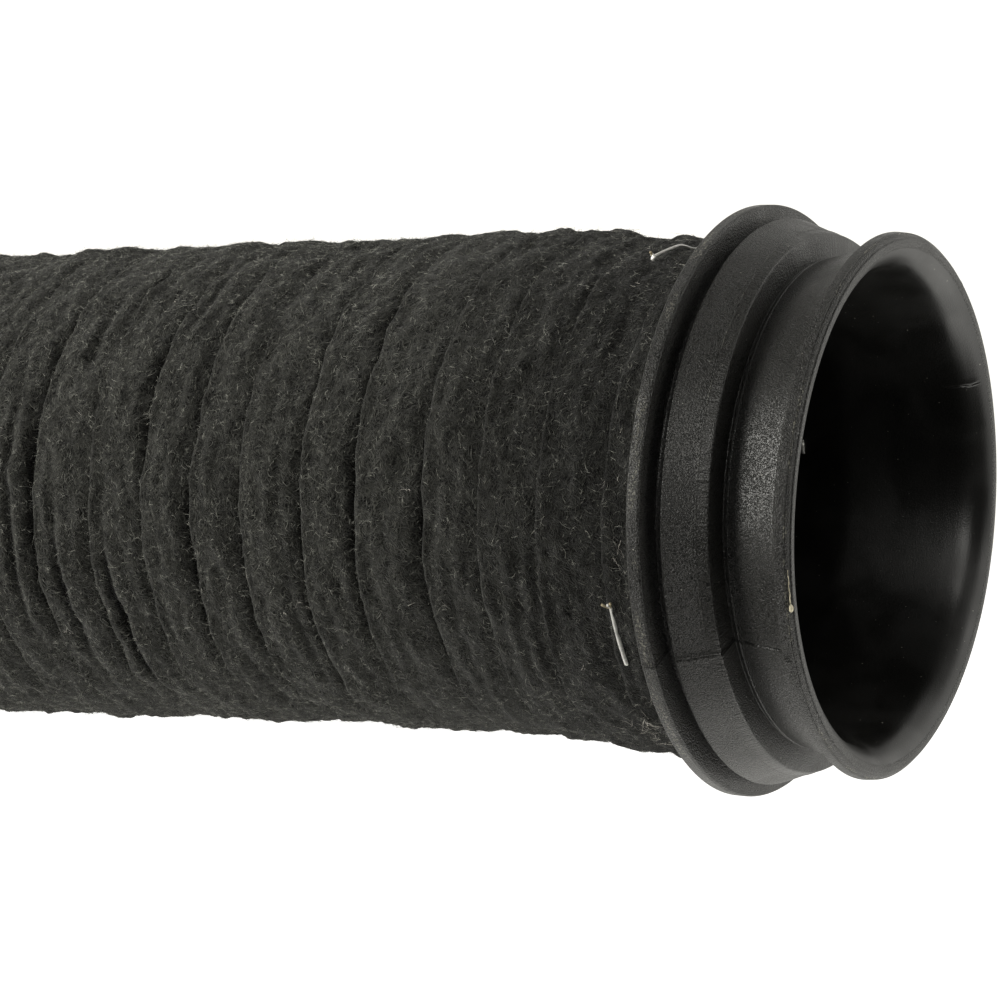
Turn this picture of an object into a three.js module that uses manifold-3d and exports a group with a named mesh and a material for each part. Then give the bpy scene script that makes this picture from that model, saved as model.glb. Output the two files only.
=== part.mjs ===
// Felt-covered flexible air duct with a moulded rubber bell-mouth cuff at each end.
// Units are millimetres. +X runs along the duct towards the front mouth and +Z is up.
// The origin lies on the floor under the middle of the duct, which rests on its two flanges.
// The wound tube is cut into short sections, and each seam between two sections can flex.
import * as THREE from "three";
import { mergeVertices } from "three/addons/utils/BufferGeometryUtils.js";
import Module from "manifold-3d";

const wasm = await Module();
wasm.setup();

// Tube: how the strip and the wire are wound
const TURN_PITCH = 11; // one turn of the felt strip and of the wire
const MIDDLE_TURNS = 3; // turns in each middle section
const END_TURNS = 4; // turns in the two end sections, which also hold a spigot
const SECTIONS = 9;
const SIDES = 28; // flats round every turned piece, one of them facing down

// Felt strip
const FELT_INNER_R = 40;
const FELT_THICKNESS = 2; // where a turn is thinnest, just behind the next lapped edge
const FELT_LAP = 0.75; // how far the surface falls from one edge to the next
const LIP_THICKNESS = 1.2; // felt that covers a seam

// Flexing seams: the lip of one section slides over the tongue of the next
const BEND_LIMIT = 10; // degrees each way
const STRETCH_LIMIT = 4; // each way, at the stretching seam
const STRETCH_SEAM = 4; // the seam that slides instead of bending
const SEAT_GAP = 0.45; // running gap between lip and tongue
const SEAT_OVERLAP = 0.7; // cover that is left at the limit

// Spring wire and liner
const WIRE_DIAMETER = 0.9;
const WIRE_GAP = 0.35; // between the felt and the wire
const WIRE_STEPS = 20; // straight lengths in one turn
const WIRE_SIDES = 4;
const WIRE_SEAT = 0.5; // between the wire and the liner
const LINER_THICKNESS = 0.7;
const LINER_GAP = 0.5; // between a liner's end and a tongue at its limit

// Cuff: lengths run back from the front of the lip, radii from the axis
const LIP_R = 44; // bell mouth, outside
const LIP_WALL = 2.7;
const LIP_LENGTH = 2;
const BELL_LENGTH = 3.2; // from the lip's front to where the flare meets the neck
const NECK_R = 41.2; // where the flare ends
const NECK_WALL = 3.2;
const FLARE_R = 4.5; // the bell's inside rounds into the bore
const FLARE_ANGLES = [0, 35, 70]; // where the rounding is divided, in degrees
const NECK_TAPER = 1.9; // the neck is this much thinner at the foot of the step ring
const NECK_END = 11.7; // where the neck meets the foot of the step ring
const RING_FRONT_R = 43.7;
const RING_LINE_R = 44.4; // at the mould line
const RING_REAR_R = 46.3;
const RING_FRONT = 12;
const RING_LINE = 13.8;
const RING_REAR = 18.9;
const GROOVE_R = 43; // the floor of the panel groove
const GROOVE_WIDTH = 2.4;
const FLANGE_R = 48.4;
const FLANGE_THICKNESS = 2.3;
const SPIGOT_WALL = 1.8; // the spigot is pushed into the liner
const SPIGOT_LENGTH = 25; // behind the flange
const SPIGOT_LEAD_IN = 0.8;
const REAR_TURN_FLATS = 3; // the rear cuff is fitted this many flats round
const SEAM_GAP = 0.3; // between pieces that touch

// Staples: middle angle (0 is up, 90 is away from +Y), distance behind the flange and tilt
const STAPLE_WIRE = 0.8;
const STAPLE_CROWN = 11.6;
const STAPLE_FOOT = 3;
const STAPLE_BOW = 0.5; // the feet bow this far off the round bore
const STAPLE_HOLE_GAP = 0.3;
const STAPLE_ROW = 6.2; // most staples sit in this row or a wire or two behind it
const STAPLE_HIGH_ROW = 10; // one staple was driven aslant, further back
const STAPLES = [
  { angle: 20, back: STAPLE_HIGH_ROW, tilt: -20 },
  { angle: 120, back: STAPLE_ROW, tilt: 2 },
  { angle: 206, back: STAPLE_ROW + STAPLE_WIRE, tilt: -3 },
  { angle: 292, back: STAPLE_ROW + 2 * STAPLE_WIRE, tilt: 4 },
];

// Worked out from the sizes above
const FELT_LOW_R = FELT_INNER_R + FELT_THICKNESS;
const FELT_EDGE_R = FELT_LOW_R + FELT_LAP; // at the lapped edge of a turn
const LIP_SEAT_R = FELT_EDGE_R - LIP_THICKNESS;
const TONGUE_R = LIP_SEAT_R - SEAT_GAP;
const BEND = THREE.MathUtils.degToRad(BEND_LIMIT);
const SEAT_HALF = LIP_SEAT_R * Math.sin(BEND) + SEAT_OVERLAP;
const TONGUE_REACH = SEAT_HALF * Math.cos(BEND) + TONGUE_R * Math.sin(BEND);
const POCKET_DEPTH = TONGUE_REACH + LINER_GAP;
const WIRE_R = FELT_INNER_R * Math.cos(Math.PI / SIDES) - WIRE_GAP - WIRE_DIAMETER / 2;
const LINER_OUTER_R = WIRE_R - WIRE_DIAMETER / 2 - WIRE_SEAT;
const LINER_R = LINER_OUTER_R - LINER_THICKNESS;
const SPIGOT_R = LINER_R - SEAM_GAP;
const SPIGOT_BORE_R = SPIGOT_R - SPIGOT_WALL;
const LIP_INNER_R = LIP_R - LIP_WALL;
const NECK_BORE_R = NECK_R - NECK_WALL;
const FLANGE_FRONT = RING_REAR + GROOVE_WIDTH;
const FLANGE_REAR = FLANGE_FRONT + FLANGE_THICKNESS;
const FELT_LENGTH = ((SECTIONS - 2) * MIDDLE_TURNS + 2 * END_TURNS) * TURN_PITCH;
const FELT_FRONT = FELT_LENGTH / 2;
const LIP_FRONT = FELT_FRONT + FLANGE_REAR;
const AXIS_HEIGHT = FLANGE_R * Math.cos(Math.PI / SIDES);

// x of the seam behind each section, counted from the front
const seamX = (k) => FELT_FRONT - (END_TURNS + (k - 1) * MIDDLE_TURNS) * TURN_PITCH;

// Colours
const RUBBER = 0x2c2b29;
const FELT = 0x32322d;
const LINER = 0x1b1b1a;
const STEEL = 0xb9b6ae;

const duct = new THREE.Group();
duct.position.z = AXIS_HEIGHT;

const material = (color, roughness, metalness) =>
  new THREE.MeshStandardMaterial({ color, roughness, metalness });

function addPiece(name, geometry, color, roughness, metalness = 0) {
  const mesh = new THREE.Mesh(geometry, material(color, roughness, metalness));
  mesh.name = name;
  duct.add(mesh);
  return mesh;
}

// A ring turned about the duct's axis. The closed outline of [x, radius] runs forwards outside.
function turned(outline) {
  const points = [...outline, outline[0]].map(([x, r]) => new THREE.Vector2(r, x));
  return new THREE.LatheGeometry(points, SIDES, Math.PI / SIDES).rotateZ(-Math.PI / 2);
}

function toSolid(geometry) {
  const plain = geometry.clone();
  plain.deleteAttribute("normal");
  plain.deleteAttribute("uv");
  const merged = mergeVertices(plain, 1e-3);
  const vertProperties = merged.attributes.position.array;
  const triVerts = new Uint32Array(merged.index.array);
  return new wasm.Manifold(new wasm.Mesh({ numProp: 3, vertProperties, triVerts }));
}

function toGeometry(solid) {
  const { vertProperties, triVerts } = solid.getMesh();
  const geometry = new THREE.BufferGeometry();
  geometry.setAttribute("position", new THREE.BufferAttribute(vertProperties, 3));
  return geometry.setIndex(new THREE.BufferAttribute(triVerts, 1));
}

const cutOut = (geometry, tools) =>
  toGeometry(tools.reduce((solid, tool) => solid.subtract(toSolid(tool)), toSolid(geometry)));

// Radius of a seat at a distance from its seam: part of a ball where the seam bends
const seatRadius = (radius, distance, slides) =>
  slides ? radius : Math.sqrt(radius ** 2 - distance ** 2);

// The felt of one section: lapped turns outside, a pocket behind and a tongue in front
function feltOutline(rear, front, turns, rearSeam, frontSeam) {
  const outline = [];
  for (let turn = 0; turn < turns; turn += 1) {
    const edge = rear + turn * TURN_PITCH;
    if (turn > 0) outline.push([edge, FELT_LOW_R]);
    outline.push([turn > 0 || rearSeam ? edge : edge + SEAM_GAP, FELT_EDGE_R]);
  }
  if (frontSeam) {
    for (const distance of [-SEAT_HALF, 0, SEAT_HALF])
      outline.push([front + distance, seatRadius(TONGUE_R, distance, frontSeam.slides)]);
    outline.push([front + SEAT_HALF, FELT_INNER_R]);
  } else {
    outline.push([front - SEAM_GAP, FELT_LOW_R], [front - SEAM_GAP, FELT_INNER_R]);
  }
  if (!rearSeam) {
    outline.push([rear + SEAM_GAP, FELT_INNER_R]);
  } else if (rearSeam.slides) {
    const depth = SEAT_HALF + STRETCH_LIMIT + SEAT_OVERLAP;
    outline.push([rear + depth, FELT_INNER_R], [rear + depth, LIP_SEAT_R], [rear, LIP_SEAT_R]);
  } else {
    const depth = Math.sqrt(LIP_SEAT_R ** 2 - FELT_INNER_R ** 2);
    for (const distance of [depth, depth / 2, 0])
      outline.push([rear + distance, seatRadius(LIP_SEAT_R, distance, false)]);
  }
  return outline;
}

function linerOutline(rear, front, rearSeam, frontSeam) {
  const start = rear + (rearSeam ? POCKET_DEPTH : SEAM_GAP);
  const end = front + (frontSeam ? SEAT_HALF : -SEAM_GAP);
  return [
    [start, LINER_OUTER_R],
    [end, LINER_OUTER_R],
    [end, LINER_R],
    [start, LINER_R],
  ];
}

class Helix extends THREE.Curve {
  constructor(start, end) {
    super();
    this.start = start;
    this.end = end;
  }
  getPoint(t, target = new THREE.Vector3()) {
    const x = THREE.MathUtils.lerp(this.start, this.end, t);
    const turn = (2 * Math.PI * x) / TURN_PITCH;
    return target.set(x, WIRE_R * Math.sin(turn), WIRE_R * Math.cos(turn));
  }
}

function springWire(rear, front, rearSeam, frontSeam) {
  const start = rear + (rearSeam ? POCKET_DEPTH : staplesEnd()) + WIRE_DIAMETER;
  const end = front + (frontSeam ? SEAT_HALF : -staplesEnd()) - WIRE_DIAMETER;
  const corners = Array.from({ length: WIRE_SIDES }, (_, i) => {
    const angle = (2 * Math.PI * i) / WIRE_SIDES;
    return new THREE.Vector2(Math.cos(angle), Math.sin(angle)).multiplyScalar(WIRE_DIAMETER / 2);
  });
  return new THREE.ExtrudeGeometry(new THREE.Shape(corners), {
    extrudePath: new Helix(start, end),
    steps: Math.round(((end - start) / TURN_PITCH) * WIRE_STEPS),
  });
}

// The zone behind a flange that the staples take up
// How far a staple reaches to each side of its middle, along the duct
function stapleReach({ tilt }) {
  const lean = THREE.MathUtils.degToRad(Math.abs(tilt));
  return (STAPLE_CROWN / 2) * Math.sin(lean) + STAPLE_WIRE / 2;
}

function staplesEnd() {
  const furthest = Math.max(...STAPLES.map((staple) => staple.back + stapleReach(staple)));
  return furthest + STAPLE_WIRE;
}

function cuffOutline() {
  const lipRound = (LIP_R - LIP_INNER_R) / 4;
  const flare = FLARE_ANGLES.map(THREE.MathUtils.degToRad).map((turn) => [
    FLARE_R * (Math.sin(turn) - 1),
    NECK_BORE_R + FLARE_R * (1 - Math.cos(turn)),
  ]);
  return [
    [0, LIP_INNER_R],
    [0, LIP_R - lipRound],
    [-lipRound, LIP_R],
    [-LIP_LENGTH, LIP_R - lipRound / 2],
    [-BELL_LENGTH, NECK_R + lipRound],
    [-BELL_LENGTH - lipRound, NECK_R],
    [-NECK_END, NECK_R - NECK_TAPER],
    [-RING_FRONT, RING_FRONT_R],
    [-RING_LINE, RING_LINE_R],
    [-RING_REAR, RING_REAR_R],
    [-RING_REAR, GROOVE_R],
    [-FLANGE_FRONT, GROOVE_R],
    [-FLANGE_FRONT, FLANGE_R],
    [-FLANGE_REAR, FLANGE_R],
    [-FLANGE_REAR, SPIGOT_R],
    [-FLANGE_REAR - SPIGOT_LENGTH + SPIGOT_LEAD_IN, SPIGOT_R],
    [-FLANGE_REAR - SPIGOT_LENGTH, SPIGOT_R - SPIGOT_LEAD_IN],
    [-FLANGE_REAR - SPIGOT_LENGTH, SPIGOT_BORE_R],
    [-FLANGE_REAR, SPIGOT_BORE_R],
    ...flare,
  ]
    .map(([x, r]) => [LIP_FRONT + x, r])
    .reverse();
}

// Highest felt under a staple. Every lapped edge faces the rear, so at the rear cuff the felt
// falls away from the flange, and at the front cuff it rises.
function feltUnder(staple, atRear) {
  const nearest = staple.back - stapleReach(staple);
  const furthest = staple.back + stapleReach(staple);
  if (Math.floor(nearest / TURN_PITCH) !== Math.floor(furthest / TURN_PITCH)) return FELT_EDGE_R;
  const along = (atRear ? nearest : furthest) % TURN_PITCH;
  const slope = (FELT_LAP * along) / TURN_PITCH;
  return atRear ? FELT_EDGE_R - slope : FELT_LOW_R + slope;
}

// A staple's front view, with its crown on the felt and its feet clinched in the spigot's bore
function stapleOutline(crownR) {
  const side = STAPLE_CROWN / 2;
  const inner = side - STAPLE_WIRE;
  const footTop = SPIGOT_BORE_R * Math.cos(Math.PI / SIDES) - SEAM_GAP - STAPLE_BOW;
  const footTip = side - STAPLE_FOOT;
  const up = Math.PI / 2;
  const outerSpan = Math.asin(side / (crownR + STAPLE_WIRE));
  const innerSpan = Math.asin(inner / crownR);
  const outline = new THREE.Shape();
  outline.absarc(0, 0, crownR + STAPLE_WIRE, up - outerSpan, up + outerSpan);
  outline.lineTo(-side, footTop - STAPLE_WIRE);
  outline.lineTo(-footTip, footTop - STAPLE_WIRE);
  outline.lineTo(-footTip, footTop);
  outline.lineTo(-inner, footTop);
  outline.absarc(0, 0, crownR, up + innerSpan, up - innerSpan, true);
  outline.lineTo(inner, footTop);
  outline.lineTo(footTip, footTop);
  outline.lineTo(footTip, footTop - STAPLE_WIRE);
  outline.lineTo(side, footTop - STAPLE_WIRE);
  return outline;
}

// Turns a geometry drawn across the duct, with +Y outwards, to its staple's place
function atStaple(geometry, { angle, back, tilt }) {
  const across = new THREE.Matrix4().makeBasis(
    new THREE.Vector3(0, 1, 0),
    new THREE.Vector3(0, 0, 1),
    new THREE.Vector3(1, 0, 0),
  );
  return geometry
    .applyMatrix4(across)
    .rotateZ(THREE.MathUtils.degToRad(tilt))
    .translate(FELT_FRONT - back, 0, 0)
    .rotateX(THREE.MathUtils.degToRad(angle));
}

function stapleGeometry(staple, atRear) {
  const crownR = feltUnder(staple, atRear) + SEAM_GAP;
  const depth = STAPLE_WIRE;
  const wire = new THREE.ExtrudeGeometry(stapleOutline(crownR), {
    depth,
    bevelEnabled: false,
    curveSegments: 2,
  });
  return atStaple(wire.translate(0, 0, -depth / 2), staple);
}

// The two holes that a staple's legs make through felt, liner and spigot
function stapleHoles(staple) {
  const width = STAPLE_WIRE + 2 * STAPLE_HOLE_GAP;
  const inside = SPIGOT_BORE_R - STAPLE_CROWN / 4;
  const height = FELT_EDGE_R + STAPLE_WIRE - inside;
  return [-1, 1].map((hand) => {
    const legX = hand * (STAPLE_CROWN - STAPLE_WIRE) * 0.5;
    const hole = new THREE.BoxGeometry(width, height, width);
    return atStaple(hole.translate(legX, inside + height / 2, 0), staple);
  });
}

// The rear cuff is the same moulding, turned end for end and round by a few of its flats.
const REAR_PLACE = new THREE.Matrix4()
  .makeRotationX((REAR_TURN_FLATS * 2 * Math.PI) / SIDES)
  .multiply(new THREE.Matrix4().makeRotationZ(Math.PI));

const frontHoles = STAPLES.flatMap(stapleHoles);
const rearHoles = frontHoles.map((hole) => hole.clone().applyMatrix4(REAR_PLACE));

function addCuffs() {
  const cuff = cutOut(turned(cuffOutline()), frontHoles);
  addPiece("front_cuff", cuff, RUBBER, 0.55);
  addPiece("rear_cuff", cuff.clone().applyMatrix4(REAR_PLACE), RUBBER, 0.55);
}

function addStaples() {
  STAPLES.forEach((staple, i) => {
    const rearWire = stapleGeometry(staple, true).applyMatrix4(REAR_PLACE);
    addPiece(`front_staple_${i + 1}`, stapleGeometry(staple, false), STEEL, 0.35, 1);
    addPiece(`rear_staple_${i + 1}`, rearWire, STEEL, 0.35, 1);
  });
}

function addSection(number) {
  const first = number === 1;
  const last = number === SECTIONS;
  const turns = first || last ? END_TURNS : MIDDLE_TURNS;
  const front = first ? FELT_FRONT : seamX(number - 1);
  const rear = front - turns * TURN_PITCH;
  const frontSeam = first ? null : { slides: number - 1 === STRETCH_SEAM };
  const rearSeam = last ? null : { slides: number === STRETCH_SEAM };
  const holes = [...(first ? frontHoles : []), ...(last ? rearHoles : [])];
  const felt = turned(feltOutline(rear, front, turns, rearSeam, frontSeam));
  const liner = turned(linerOutline(rear, front, rearSeam, frontSeam));
  addPiece(`felt_cover_${number}`, holes.length ? cutOut(felt, holes) : felt, FELT, 1);
  addPiece(`liner_${number}`, holes.length ? cutOut(liner, holes) : liner, LINER, 0.8);
  addPiece(`spring_wire_${number}`, springWire(rear, front, rearSeam, frontSeam), STEEL, 0.4, 1);
}

addCuffs();
addStaples();
for (let number = 1; number <= SECTIONS; number += 1) addSection(number);

export default duct;
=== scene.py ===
"""Flexible air duct: felt, rubber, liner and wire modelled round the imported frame.

Lengths are in metres in the frame's own axes: +X runs along the duct to the front mouth and
+Z is up. Round the duct an angle of 0 is up, and it grows towards -Y, the camera's side.
"""

import math

import bpy
import numpy as np
from mathutils import Matrix, Vector


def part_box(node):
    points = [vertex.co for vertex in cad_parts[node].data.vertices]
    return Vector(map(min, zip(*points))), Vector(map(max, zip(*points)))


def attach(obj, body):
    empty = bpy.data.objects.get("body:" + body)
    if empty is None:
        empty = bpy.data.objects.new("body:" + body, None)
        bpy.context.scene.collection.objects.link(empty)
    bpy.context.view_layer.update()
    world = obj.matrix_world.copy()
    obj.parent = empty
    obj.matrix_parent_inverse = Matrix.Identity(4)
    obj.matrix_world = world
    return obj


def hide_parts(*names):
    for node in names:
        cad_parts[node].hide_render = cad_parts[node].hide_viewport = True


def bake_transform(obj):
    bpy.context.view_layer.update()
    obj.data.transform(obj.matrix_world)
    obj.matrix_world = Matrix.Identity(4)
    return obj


bl_info = {
    "name": "Flexible air duct",
    "version": (1, 0, 0),
    "blender": (4, 5, 0),
    "location": "3D View > Sidebar > Duct",
    "description": "Builds a felt-covered flexible air duct with moulded rubber cuffs",
    "category": "Object",
}

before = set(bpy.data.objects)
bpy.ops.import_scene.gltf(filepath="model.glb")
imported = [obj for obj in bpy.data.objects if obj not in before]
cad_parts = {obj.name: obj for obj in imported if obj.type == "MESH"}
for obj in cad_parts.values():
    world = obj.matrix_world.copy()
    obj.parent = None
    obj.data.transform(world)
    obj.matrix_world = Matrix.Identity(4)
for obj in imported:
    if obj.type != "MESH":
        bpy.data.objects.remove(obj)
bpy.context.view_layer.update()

MM = 0.001
CIRCLE = 2 * math.pi

# Places that the frame fixes, and the radius at which the cuffs' skin is mapped
CUFF_LOW, CUFF_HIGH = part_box("front_cuff")
AXIS_Z = (CUFF_LOW.z + CUFF_HIGH.z) / 2
LIP_X = CUFF_HIGH.x
LIP_MIDDLE = Vector((LIP_X, 0, AXIS_Z))
FELT_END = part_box("felt_cover_1")[1].x
SECTIONS = sum(name.startswith("felt_cover_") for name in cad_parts)
SEAMS = [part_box(f"felt_cover_{number}")[0].x for number in range(1, SECTIONS)]
SECTION_MIDDLES = [(front + rear) / 2 for front, rear in zip(SEAMS, SEAMS[1:])]
ENDS = (("front", 1, "section_1"), ("rear", -1, f"section_{SECTIONS}"))
STAPLES = sum(name.startswith("front_staple_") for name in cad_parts)
CUFF_HALF = 44 * MM


# ---------------------------------------------------------------- sizes and colours


def length(name, description, default):
    return bpy.props.FloatProperty(
        name=name, description=description, default=default, min=0, precision=5,
        unit="LENGTH", subtype="DISTANCE",
    )


def power(name, description, default):
    return bpy.props.FloatProperty(name=name, description=description, default=default, min=0, unit="POWER")


def amount(name, description, default):
    return bpy.props.FloatProperty(name=name, description=description, default=default, min=0)


def tone(name, description, default):
    return bpy.props.FloatVectorProperty(
        name=name, description=description, default=default, size=4, min=0, max=1, subtype="COLOR"
    )


class DuctFeltSettings(bpy.types.PropertyGroup):
    pitch: length("Turn", "Distance from one lapped edge to the next", 11 * MM)
    tuck: length("Tuck", "Width that lies under the next turn's edge", 2 * MM)
    first_edge: length("First edge", "Where the first lapped edge crosses the near side", 152.1 * MM)
    edge_radius: length("Edge radius", "Radius at a lapped edge", 42.75 * MM)
    inner_radius: length("Inner radius", "Radius of the strip's underside", 39.9 * MM)
    lap: length("Lap", "How far the surface falls over one turn", 0.75 * MM)
    edge_thickness: length("Edge thickness", "Thickness of a lapped edge", 1.0 * MM)
    wander: length("Wander", "How far the edges wander", 0.45 * MM)
    lump: length("Lumps", "Height of the lumps in the felt", 0.36 * MM)
    valley: length("Valley", "Width over which the strip dips under the next edge", 2.0 * MM)
    fold: length("Folds", "Depth of the deepest fold", 1.5 * MM)
    droop: length("Droop", "How far the middle of the tube hangs", 3.0 * MM)
    rise: length("Rise", "How far the tube rises behind a cuff", 1.8 * MM)
    flare: length("Flare", "How far the felt swells against a flange", 0.5 * MM)
    fibre: length("Fibre length", "Length of a loose fibre", 1.4 * MM)
    fibre_width: length("Fibre width", "Width of a loose fibre", 0.055 * MM)
    fibres: bpy.props.IntProperty(
        name="Fibres", description="Loose fibres on each piece of strip", default=22000, min=0
    )
    colour: tone("Felt", "Colour of the felt", (0.029, 0.0292, 0.0258, 1))
    fibre_colour: tone("Fibres", "Colour of the loose fibres", (0.2, 0.201, 0.178, 1))
    lint_colour: tone("Lint", "Colour of pale lint", (0.72, 0.69, 0.62, 1))


class DuctCuffSettings(bpy.types.PropertyGroup):
    parting_angle: bpy.props.FloatProperty(
        name="Parting line",
        description="Angle of the mould's parting line from straight up",
        default=math.radians(121.5),
        subtype="ANGLE",
        unit="ROTATION",
    )
    parting_height: length("Parting ridge", "Height of the parting ridge", 0.13 * MM)
    lip_reach: length("Lip reach", "How far the soft lip reaches forwards all round", 1.16 * MM)
    lip_lean: length("Lip lean", "How much further it reaches at its top", 0.7 * MM)
    colour: tone("Rubber", "Colour of the rubber", (0.006, 0.0059, 0.0053, 1))


class DuctTubeSettings(bpy.types.PropertyGroup):
    liner_radius: length("Liner radius", "Outside radius of the liner", 38 * MM)
    liner_thickness: length("Liner thickness", "Thickness of the liner", 0.7 * MM)
    liner_rib: length("Liner rib", "How far the liner is drawn in between the wire's turns", 0.35 * MM)
    wire_radius: length("Wire helix radius", "Radius of the spring's centre line", 38.95 * MM)
    wire: length("Wire", "Diameter of the spring wire", 0.9 * MM)
    staple_wire: length("Staple wire", "Width of the staple wire", 0.72 * MM)
    liner_colour: tone("Liner", "Colour of the liner", (0.012, 0.012, 0.011, 1))
    steel_colour: tone("Steel", "Colour of the spring steel", (0.36, 0.35, 0.33, 1))
    glue_colour: tone("Glue", "Colour of the glue on the staples' ends", (0.55, 0.47, 0.3, 1))
    zinc_colour: tone("Zinc", "Colour of the plated staple wire", (0.92, 0.91, 0.87, 1))


class DuctStageSettings(bpy.types.PropertyGroup):
    lens: bpy.props.FloatProperty(
        name="Lens", description="Focal length in millimetres", default=109.0, min=10
    )
    floor_colour: tone("Floor", "Colour of the floor", (0.93, 0.93, 0.92, 1))
    light_colour: tone("Light", "Colour of the lights and the white wall", (1.0, 0.985, 0.93, 1))
    floor_glow: amount("Floor glow", "How brightly the light table shines", 0.97)
    floor_drop: length("Floor drop", "How far the light table lies below the duct, clear of its bends", 0.16)
    backdrop: amount("Backdrop", "Brightness of the white wall behind the duct", 1.15)
    wall_light: amount("Wall light", "How brightly the white wall lights the duct", 0.66)
    mouth_wall: amount("Mouth wall", "How much brighter the wall is on the mouth's side", 1.4)
    table_light: amount("Table light", "How much brighter the light table is than the wall", 1.5)
    room: amount("Room", "Brightness of the room overhead and behind the camera", 0.02)
    side_light: power("Side light", "Power of the soft box far to the left", 9.8)
    low_light: power("Low light", "Power of the soft box level with the duct", 0.7)
    back_light: power("Back light", "Power of the light that rakes along the tube", 1.6)
    mouth_light: power("Mouth light", "Power of the soft box on the mouth's side", 1.7)
    front_light: power("Front light", "Power of the reflected strip above the camera", 3.0)


# ---------------------------------------------------------------- shared shapes


class Ripple:
    """Smooth random waves over the tube's skin that close on themselves round it."""

    def __init__(self, seed, wavelength, waves=18, around=1.0, along=1.0):
        rng = np.random.default_rng(seed)
        heading = rng.uniform(0, CIRCLE, waves)
        number = CIRCLE / wavelength * rng.uniform(0.7, 1.4, waves)
        skin_radius = 42.5 * MM
        self.along = number * np.cos(heading) * along
        self.around = np.round(number * np.sin(heading) * around * skin_radius)
        self.phase = rng.uniform(0, CIRCLE, waves)
        self.share = math.sqrt(2 / waves)

    def __call__(self, x, angle):
        total = np.zeros(np.broadcast(x, angle).shape)
        for along, around, phase in zip(self.along, self.around, self.phase):
            total += np.cos(along * x + around * angle + phase)
        return total * self.share


def hump(distance, reach, steepness=2):
    """A smooth hump: 1 where the distance is 0, and small beyond the reach."""
    return np.exp(-(np.abs(distance / reach) ** steepness))


def bow(x):
    """How far the tube's centre lies above the straight axis."""
    felt = bpy.context.scene.duct_felt
    droop_reach, rise_place, rise_reach = 48 * MM, 120 * MM, 18 * MM
    return felt.rise * hump(np.abs(x) - rise_place, rise_reach) - felt.droop * hump(x, droop_reach)


def on_axis(x, radius, angle, lift=0):
    """Points round the straight axis, or round one that lies higher by the lift."""
    y, z = -radius * np.sin(angle), AXIS_Z + lift + radius * np.cos(angle)
    return np.stack(np.broadcast_arrays(x, y, z), axis=-1)


def on_tube(x, radius, angle):
    """Points on the drooping tube."""
    return on_axis(x, radius, angle, bow(x))


def gap_between(angle, other):
    return (angle - other + math.pi) % CIRCLE - math.pi


def unit(vectors):
    return vectors / np.linalg.norm(vectors, axis=-1, keepdims=True)


def smooth(low, high, value):
    t = np.clip((value - low) / (high - low), 0, 1)
    return t * t * (3 - 2 * t)


def grid_faces(rows, columns, ring):
    """Corner indices of a tube's quads, and the same corners before the grid closes on itself."""
    row = np.arange(rows if ring else rows - 1)[:, None]
    column = np.arange(columns)[None, :]
    corners = [(row, column), (row + 1, column), (row + 1, column + 1), (row, column + 1)]
    wrapped = [(r % rows) * columns + (c % columns) for r, c in corners]
    quads = np.stack(np.broadcast_arrays(*wrapped), axis=-1).reshape(-1, 4)
    flat = [np.stack(np.broadcast_arrays(r, c), axis=-1) for r, c in corners]
    return quads, np.stack(flat, axis=-2).reshape(-1, 2)


def new_piece(name, vertices, quads, corner_uv=None, caps=(), material=None):
    """A mesh object from arrays: quads with a flat map, and many-sided caps."""
    mesh = bpy.data.meshes.new(name)
    loops = np.concatenate([quads.ravel(), *[np.asarray(cap) for cap in caps]]).astype(np.int32)
    lengths = [4] * len(quads) + [len(cap) for cap in caps]
    starts = np.concatenate([[0], np.cumsum(lengths)[:-1]]).astype(np.int32)
    mesh.vertices.add(len(vertices))
    mesh.vertices.foreach_set("co", np.asarray(vertices, np.float32).ravel())
    mesh.loops.add(len(loops))
    mesh.loops.foreach_set("vertex_index", loops)
    mesh.polygons.add(len(lengths))
    mesh.polygons.foreach_set("loop_start", starts)
    mesh.update(calc_edges=True)
    if corner_uv is not None:
        spare = np.zeros((len(loops) - len(corner_uv), 2))
        layer = mesh.uv_layers.new(name="skin")
        layer.data.foreach_set("uv", np.concatenate([corner_uv, spare]).astype(np.float32).ravel())
    mesh.validate()
    mesh.shade_smooth()
    piece = bpy.data.objects.new(name, mesh)
    bpy.context.scene.collection.objects.link(piece)
    if material:
        mesh.materials.append(material)
    return piece


def tube_of(name, points, measure, material, ring=False):
    """A tube from rows of points, bent to a ring or capped, mapped in metres by its own measured lengths."""
    rows, columns = points.shape[:2]
    quads, corners = grid_faces(rows, columns, ring)
    u, v = measure
    corner_uv = np.stack([u[corners[:, 0]], v[corners[:, 1]]], axis=-1)
    first = np.arange(columns)
    caps = () if ring else (first, (rows - 1) * columns + first[::-1])
    piece = new_piece(name, points.reshape(-1, 3), quads, corner_uv, caps, material)
    face_outwards(piece)
    return piece


def face_outwards(piece):
    """Turns a closed mesh's faces round if its volume comes out negative."""
    mesh = piece.data
    mesh.calc_loop_triangles()
    corner = np.zeros(len(mesh.loop_triangles) * 3, np.int32)
    mesh.loop_triangles.foreach_get("vertices", corner)
    co = np.zeros(len(mesh.vertices) * 3, np.float32)
    mesh.vertices.foreach_get("co", co)
    a, b, c = co.reshape(-1, 3).astype(float)[corner.reshape(-1, 3)].transpose(1, 0, 2)
    if np.einsum("ij,ij->i", a, np.cross(b, c)).sum() < 0:
        mesh.flip_normals()


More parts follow.
